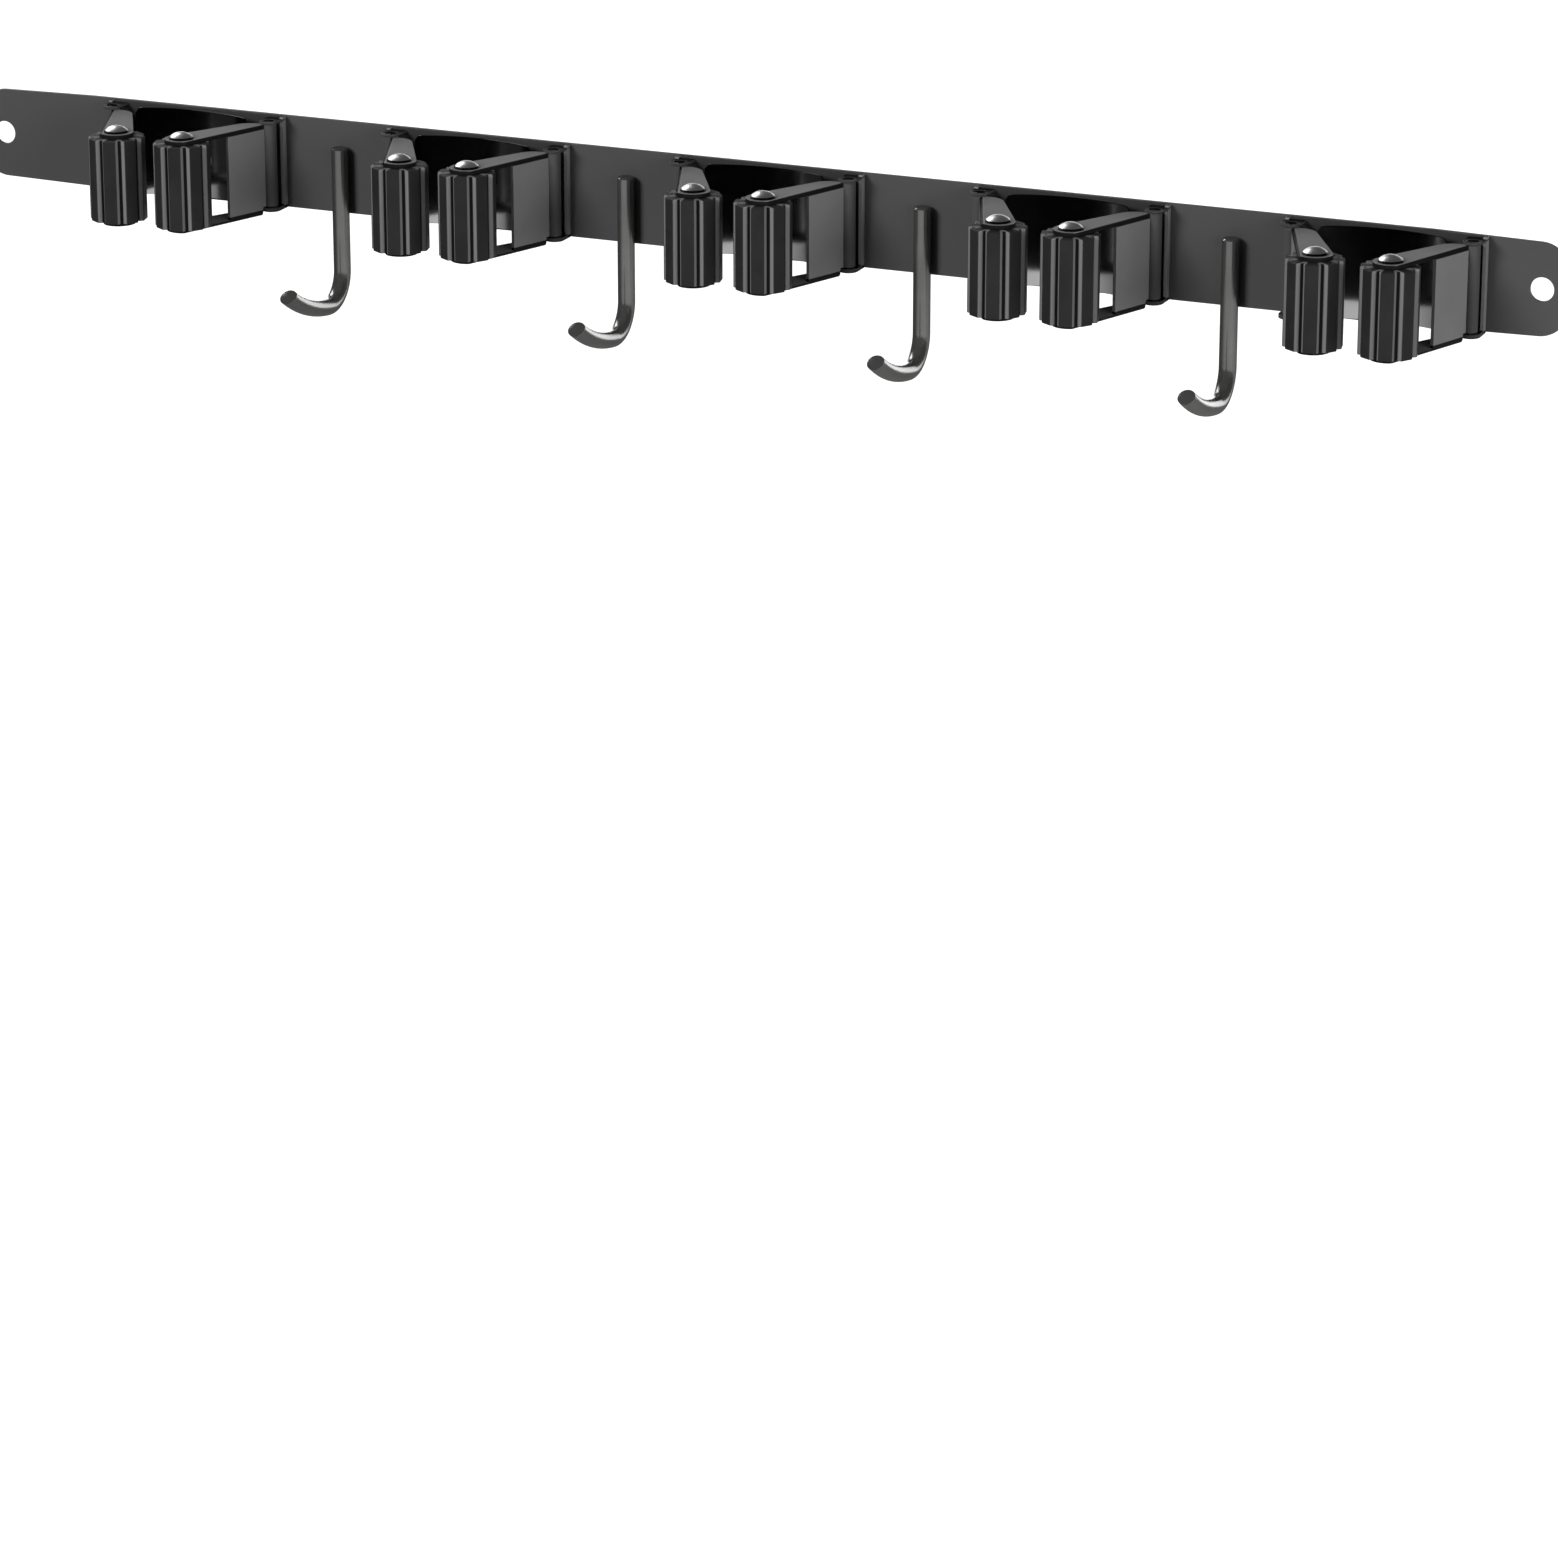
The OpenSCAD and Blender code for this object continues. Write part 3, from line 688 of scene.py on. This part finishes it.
def ridgeTree():
    tree = bpy.data.node_groups.new("rollerRidges", "GeometryNodeTree")
    face = tree.interface
    face.new_socket("Body", in_out="INPUT", socket_type="NodeSocketGeometry")
    ids = {}
    for name in ("Ridges", "Depth", "Width", "Floor", "Core", "Radius", "Tone Reach"):
        ids[name] = face.new_socket(name, in_out="INPUT", socket_type="NodeSocketFloat").identifier
    ids["Finish"] = face.new_socket("Finish", in_out="INPUT", socket_type="NodeSocketMaterial").identifier
    face.new_socket("Roller", in_out="OUTPUT", socket_type="NodeSocketGeometry")
    given = addNode(tree, "NodeGroupInput").outputs
    link = tree.links.new
    fullTurn = 2 * math.pi

    def calc(operation, *values):
        return mathOf(tree, operation, *values)

    split = addNode(tree, "ShaderNodeSeparateXYZ")
    link(addNode(tree, "GeometryNodeInputPosition").outputs["Position"], split.inputs["Vector"])
    x, y, z = (split.outputs[k] for k in ("X", "Y", "Z"))
    radius = calc("SQRT", calc("ADD", calc("MULTIPLY", x, x), calc("MULTIPLY", y, y)))
    # distance along the rim from the nearest groove
    share = calc("MULTIPLY", calc("DIVIDE", calc("ARCTAN2", y, x), fullTurn), given["Ridges"])
    away = calc("ABSOLUTE", calc("SUBTRACT", share, calc("ROUND", share)))
    rim = calc("DIVIDE", calc("MULTIPLY", given["Radius"], fullTurn), given["Ridges"])
    groove = addNode(tree, "ShaderNodeMapRange")
    link(calc("MULTIPLY", away, rim), groove.inputs["Value"])
    link(calc("DIVIDE", given["Floor"], 2), groove.inputs["From Min"])
    link(calc("DIVIDE", given["Width"], 2), groove.inputs["From Max"])
    groove.inputs["To Min"].default_value = 1
    groove.inputs["To Max"].default_value = 0
    outer = addNode(tree, "ShaderNodeMapRange")
    link(radius, outer.inputs["Value"])
    link(given["Core"], outer.inputs["From Min"])
    link(given["Radius"], outer.inputs["From Max"])
    # ridges have flat faces: the rim between two grooves lies on a chord
    pitch = calc("DIVIDE", fullTurn, given["Ridges"])
    halfGroove = calc("DIVIDE", calc("DIVIDE", given["Width"], 2), given["Radius"])
    corner = calc("SUBTRACT", calc("DIVIDE", pitch, 2), halfGroove)
    fromMiddle = calc("MINIMUM", calc("MULTIPLY", calc("SUBTRACT", 0.5, away), pitch), corner)
    chord = calc("SUBTRACT", 1, calc("DIVIDE", calc("COSINE", corner), calc("COSINE", fromMiddle)))
    flat = calc("MULTIPLY", chord, given["Radius"])
    sink = calc("MULTIPLY_ADD", groove.outputs["Result"], given["Depth"], flat)
    press = calc("MULTIPLY", sink, outer.outputs["Result"])
    factor = calc("DIVIDE", calc("SUBTRACT", radius, press), radius)
    place = addNode(tree, "ShaderNodeCombineXYZ")
    link(calc("MULTIPLY", x, factor), place.inputs["X"])
    link(calc("MULTIPLY", y, factor), place.inputs["Y"])
    link(z, place.inputs["Z"])
    # the groove's depth is kept for the painted highlight on the groove flanks and the painted shade in the
    # groove floors, and fades out towards the hub
    keep = addNode(tree, "GeometryNodeStoreNamedAttribute", data_type="FLOAT", domain="POINT")
    keep.inputs["Name"].default_value = "grooveDepth"
    link(given["Body"], keep.inputs["Geometry"])
    nearRim = calc("MINIMUM", calc("MULTIPLY", outer.outputs["Result"], given["Tone Reach"]), 1)
    link(calc("MULTIPLY", groove.outputs["Result"], nearRim), keep.inputs["Value"])
    move = addNode(tree, "GeometryNodeSetPosition")
    link(keep.outputs["Geometry"], move.inputs["Geometry"])
    link(place.outputs["Vector"], move.inputs["Position"])
    real = addNode(tree, "GeometryNodeRealizeInstances")
    paint = addNode(tree, "GeometryNodeSetMaterial")
    end = addNode(tree, "NodeGroupOutput")
    link(move.outputs["Geometry"], real.inputs["Geometry"])
    link(real.outputs["Geometry"], paint.inputs["Geometry"])
    link(given["Finish"], paint.inputs["Material"])
    link(paint.outputs["Geometry"], end.inputs["Roller"])
    return tree, ids


def ridgedRoller():
    holder = solid("roller", rollerBody())
    tree, ids = ridgeTree()
    mod = holder.modifiers.new("ridges", "NODES")
    mod.node_group = tree
    mod[ids["Ridges"]] = float(roller["ridges"])
    mod[ids["Tone Reach"]] = roller["paintedLightReach"]
    for name, key in (("Depth", "depth"), ("Width", "width"), ("Floor", "floor"), ("Core", "core")):
        mod[ids[name]] = roller[key] * mm
    mod[ids["Radius"]] = roller["d"] / 2 * mm
    mod[ids["Finish"]] = finishes["rollerRubber"]
    mesh = bake(holder, roller["sharp"])
    dropPiece(holder)
    mesh.transform(Matrix.Rotation(math.radians(roller["turn"]), 4, "Z"))
    return mesh


rollerMesh = ridgedRoller()
for i, x in enumerate(clipX, 1):
    for side, s in sides:
        piece = copyAt(rollerMesh, "%sRoller%d" % (side, i), (x + s * rollX, rollY, 0))
        settle(piece, "%s_roll_%d" % (side, i), ["%s_roller_%d" % (side, i)], "rollerRubber")
print("rollers made")

# roller pins: a domed head with a thin rim, a shank and a closed lower end
pin = {"d": 4, "domeD": 7.4, "domeH": 2.0, "rim": 0.35, "domeSteps": 10, "tailD": 5, "tailH": 0.5,
       "tailEdge": (0.2, 0.15), "paintedShadowRim": 0.6, "steps": 48}


def domeProfile(d, h, rim, z):
    ball = ((d / 2) ** 2 + (h - rim) ** 2) / (2 * (h - rim))
    top = math.asin(min(1, d / 2 / ball))
    turns = [top * k / pin["domeSteps"] for k in range(1, pin["domeSteps"] + 1)]
    cap = [(ball * math.sin(a), z + h - ball + ball * math.cos(a)) for a in turns]
    return [(0, z + h)] + cap + [(d / 2, z)]


def rollerPin():
    r, tailR, foot = pin["d"] / 2, pin["tailD"] / 2, armBottom - pin["tailH"]
    across, up = pin["tailEdge"]
    tail = [(r, armTop), (r, armBottom), (tailR, armBottom), (tailR, foot + up), (tailR - across, foot),
            (0, foot)]
    dome = domeProfile(pin["domeD"], pin["domeH"], pin["rim"], armTop)
    mesh = meshOf(inMetres(lathe(dome + tail, pin["steps"])), "rollerPin", meshRule["turnedSharp"])
    # painted shadow: the dome's lowest ring and its rim, where the head sits on the flap, are darkened
    shade(mesh, lambda face: face.center.z / mm < armTop + pin["paintedShadowRim"])
    return mesh


pinMesh = rollerPin()
for i, x in enumerate(clipX, 1):
    for side, s in sides:
        piece = copyAt(pinMesh, "%sRollerPin%d" % (side, i), (x + s * rollX, rollY, 0))
        settle(piece, "%s_grip_%d" % (side, i), ["%s_roller_pin_%d" % (side, i)], "brightSteel")
print("roller pins made")

# leaf springs: a thin bowed strip, riveted in the middle
leaf = {"span": 38, "bow": 4, "sheet": 0.7, "height": 27, "corner": 1.5, "steps": 40, "edge": 0.12,
        "edgeAngle": 50, "rimTilt": 0.3}


def leafStrip():
    outerR = ((leaf["span"] / 2) ** 2 + leaf["bow"] ** 2) / (2 * leaf["bow"])
    axisY = -plate["thick"] - base["sheet"] - outerR
    half, tall, c = leaf["span"] / 2, leaf["height"] / 2, leaf["corner"]
    bm = bmesh.new()
    skins = []
    for radius in (outerR, outerR - leaf["sheet"]):
        columns = []
        for k in range(leaf["steps"] + 1):
            x = -half + leaf["span"] * k / leaf["steps"]
            inFromEnd = half - abs(x)
            cutBack = c - math.sqrt(max(0, c ** 2 - max(0, c - inFromEnd) ** 2))
            y = axisY + math.sqrt(radius ** 2 - x ** 2)
            columns.append([bm.verts.new((x, y, z)) for z in (-tall + cutBack, tall - cutBack)])
        skins.append(columns)
    back, front = skins
    for k in range(leaf["steps"]):
        for skin in skins:
            bm.faces.new((skin[k][0], skin[k + 1][0], skin[k + 1][1], skin[k][1]))
        for j in (0, 1):
            bm.faces.new((back[k][j], back[k + 1][j], front[k + 1][j], front[k][j]))
    for k in (0, leaf["steps"]):
        bm.faces.new((back[k][0], back[k][1], front[k][1], front[k][0]))
    holder = solid("leaf", bm)
    roundEdges(holder, leaf["edge"], leaf["edgeAngle"])
    mesh = bake(holder)
    dropPiece(holder)
    # painted shade: the strip's top and bottom edges are darkened
    shade(mesh, lambda face: abs(face.normal.z) > leaf["rimTilt"])
    return mesh


leafMesh = leafStrip()
for i, x in enumerate(clipX, 1):
    settle(copyAt(leafMesh, "leafSpring%d" % i, (x, 0, 0)), "rack", ["leaf_spring_%d" % i], "springSteel")
print("leaf springs made")

# base rivets and hinge pins: one turned shape set on each point of a row
rivet = {"headD": 9, "headH": 2.2, "rim": 0.3, "d": 4, "drop": 1.5, "seat": -3.32, "steps": 56}
hingePin = {"d": 2.4, "recess": 1.6, "foot": 0.3, "crown": 0.25, "steps": 28}


def rivetShape():
    shank = [(rivet["d"] / 2, 0), (rivet["d"] / 2, rivet["seat"]), (0, rivet["seat"])]
    head = domeProfile(rivet["headD"], rivet["headH"], rivet["rim"], 0)
    mesh = meshOf(inMetres(lathe(head + shank, rivet["steps"])), "rivet", meshRule["turnedSharp"])
    mesh.transform(Matrix.Rotation(math.pi / 2, 4, "X"))
    return mesh


def hingePinShape():
    low, high = -earTop - hingePin["foot"], earTop - hingePin["recess"]
    r, c = hingePin["d"] / 2, hingePin["crown"]
    profile = [(0, high), (r - c, high), (r, high - c), (r, low + c), (r - c, low), (0, low)]
    return meshOf(inMetres(lathe(profile, hingePin["steps"])), "hingePin", meshRule["turnedSharp"])


def rowTree():
    tree = bpy.data.node_groups.new("fastenerRow", "GeometryNodeTree")
    face = tree.interface
    face.new_socket("Points", in_out="INPUT", socket_type="NodeSocketGeometry")
    ids = {}
    for name, kind in (("Shape", "Object"), ("Finish", "Material")):
        ids[name] = face.new_socket(name, in_out="INPUT", socket_type="NodeSocket" + kind).identifier
    face.new_socket("Row", in_out="OUTPUT", socket_type="NodeSocketGeometry")
    start = addNode(tree, "NodeGroupInput")
    shape = addNode(tree, "GeometryNodeObjectInfo")
    spots = addNode(tree, "GeometryNodeInstanceOnPoints")
    real = addNode(tree, "GeometryNodeRealizeInstances")
    paint = addNode(tree, "GeometryNodeSetMaterial")
    end = addNode(tree, "NodeGroupOutput")
    link = tree.links.new
    link(start.outputs["Points"], spots.inputs["Points"])
    link(start.outputs["Shape"], shape.inputs["Object"])
    link(shape.outputs["Geometry"], spots.inputs["Instance"])
    link(spots.outputs["Instances"], real.inputs["Geometry"])
    link(real.outputs["Geometry"], paint.inputs["Geometry"])
    link(start.outputs["Finish"], paint.inputs["Material"])
    link(paint.outputs["Geometry"], end.inputs["Row"])
    return tree, ids


def rowOf(name, shapeMesh, spots, look, nodes):
    points = bpy.data.meshes.new(name)
    points.from_pydata([tuple(v * mm for v in spot) for spot in spots], [], [])
    holder = newPiece(name + "Points", points)
    shape = newPiece(name + "Shape", shapeMesh)
    tree, ids = fastenerTree
    mod = holder.modifiers.new("row", "NODES")
    mod.node_group = tree
    mod[ids["Shape"]] = shape
    mod[ids["Finish"]] = finishes[look]
    mesh = bake(holder, meshRule["turnedSharp"])
    dropPiece(holder)
    dropPiece(shape)
    settle(newPiece(name, mesh), "rack", nodes, look)


fastenerTree = rowTree()
clipNumbers = range(1, row["clips"] + 1)
rowOf("baseRivets", rivetShape(), [(x, rivet["seat"], -rivet["drop"]) for x in clipX],
      "brightSteel", ["base_rivet_%d" % i for i in clipNumbers])
rowOf("hingePins", hingePinShape(), [(x + s * hingeX, hingeY, 0) for x in clipX for s in (-1, 1)],
      "pinSteelWithHoleShade", ["hinge_pins_%d" % i for i in clipNumbers])
print("fasteners made")

for mesh in (baseMesh, armMesh, rollerMesh, pinMesh, leafMesh):
    bpy.data.meshes.remove(mesh)

# pale floor: bright to the camera, dim as a light; in mirrors it glows as a painted reflection that grows
# towards the front right, and towards the left its lit colour is painted out as shade
stage = {"floor": -0.42, "half": 9.0, "tones": (0.13, 0.15), "cloudScale": 3, "cloudDetail": 2, "rough": 0.9,
         "glow": 0.97, "paintedSheen": (0.02, 0.6), "paintedSheenReach": (-0.4, 1.2), "paintedSheenWay": (1, -0.8, 0),
         "shadeReach": (-0.872, -0.842), "shadeWay": (1, -0.4, 0), "sky": 0.08}


def acrossFloor(tree, coords, way, low, high, stretch):
    # a value that goes from low to high over a stretch of the floor
    across = addNode(tree, "ShaderNodeVectorMath", operation="DOT_PRODUCT")
    across.inputs[1].default_value = way
    tree.links.new(coords, across.inputs[0])
    return spread(tree, across.outputs["Value"], low, high, *stretch)


def paleFloor():
    mat = bpy.data.materials.new("paleFloor")
    mat.use_nodes = True
    tree = mat.node_tree
    shader = tree.nodes["Principled BSDF"]
    shader.inputs["Roughness"].default_value = stage["rough"]
    tone = addNode(tree, "ShaderNodeValToRGB")
    for end, grey in zip(tone.color_ramp.elements, stage["tones"]):
        end.color = (grey, grey, grey, 1)
    coords = addNode(tree, "ShaderNodeTexCoord").outputs["Object"]
    cloud = noiseOf(tree, coords, stage["cloudScale"], stage["cloudDetail"])
    tree.links.new(cloud, tone.inputs["Fac"])
    rays = addNode(tree, "ShaderNodeLightPath").outputs
    # painted shade: in mirror rays the floor's lit colour fades out towards the left
    shaded = acrossFloor(tree, coords, stage["shadeWay"], 1, 0, stage["shadeReach"])
    paintedMirrorShade = mathOf(tree, "MULTIPLY", rays["Is Glossy Ray"], shaded)
    lit = addNode(tree, "ShaderNodeVectorMath", operation="SCALE")
    tree.links.new(tone.outputs["Color"], lit.inputs[0])
    tree.links.new(mathOf(tree, "SUBTRACT", 1, paintedMirrorShade), lit.inputs["Scale"])
    tree.links.new(lit.outputs["Vector"], shader.inputs["Base Color"])
    # painted reflection: a glow that only mirror rays see
    paintedSheen = acrossFloor(tree, coords, stage["paintedSheenWay"], *stage["paintedSheen"], stage["paintedSheenReach"])
    mirrorGlow = mathOf(tree, "MULTIPLY", rays["Is Glossy Ray"], paintedSheen)
    glow = mathOf(tree, "MULTIPLY_ADD", rays["Is Camera Ray"], stage["glow"], mirrorGlow)
    shader.inputs["Emission Color"].default_value = (1, 1, 1, 1)
    tree.links.new(glow, shader.inputs["Emission Strength"])
    return mat


def floorSheet():
    h, z = stage["half"], stage["floor"]
    mesh = bpy.data.meshes.new("floor")
    mesh.from_pydata([(-h, -h, z), (h, -h, z), (h, h, z), (-h, h, z)], [], [(0, 1, 2, 3)])
    mesh.materials.append(paleFloor())
    return mesh


floor = newPiece("floor", floorSheet())

# soft studio light; a lamp that isn't mirrored doesn't show in bright metal
lamps = [
    {"name": "keyLamp", "place": (-1.6, -3.2, 1.7), "size": (1.3, 1.3), "power": 330, "mirrored": False},
    {"name": "sideLamp", "place": (2.6, -1.4, -0.1), "size": (2.4, 2.4), "power": 225, "mirrored": False},
    {"name": "topBackLamp", "place": (-1.6, 0.95, 1.45), "size": (1.0, 1.0), "power": 22, "mirrored": True},
    {"name": "lowBackLamp", "place": (0.0, 2.2, 0.0), "size": (4.0, 0.8), "power": 30, "mirrored": True},
]
for lamp in lamps:
    data = bpy.data.lights.new(lamp["name"], "AREA")
    data.shape = "RECTANGLE"
    data.size, data.size_y = lamp["size"]
    data.energy = lamp["power"]
    lightObj = bpy.data.objects.new(lamp["name"], data)
    lightObj.visible_camera = False
    lightObj.visible_glossy = lamp["mirrored"]
    lightObj.location = lamp["place"]
    lightObj.rotation_euler = facing(-Vector(lamp["place"]))
    scene.collection.objects.link(lightObj)

world = bpy.data.worlds.new("studio")
world.use_nodes = True
sky = world.node_tree.nodes["Background"]
sky.inputs["Color"].default_value = (1, 1, 1, 1)
sky.inputs["Strength"].default_value = stage["sky"]
scene.world = world
scene.view_settings.view_transform = "Standard"
print("stage and lights set")
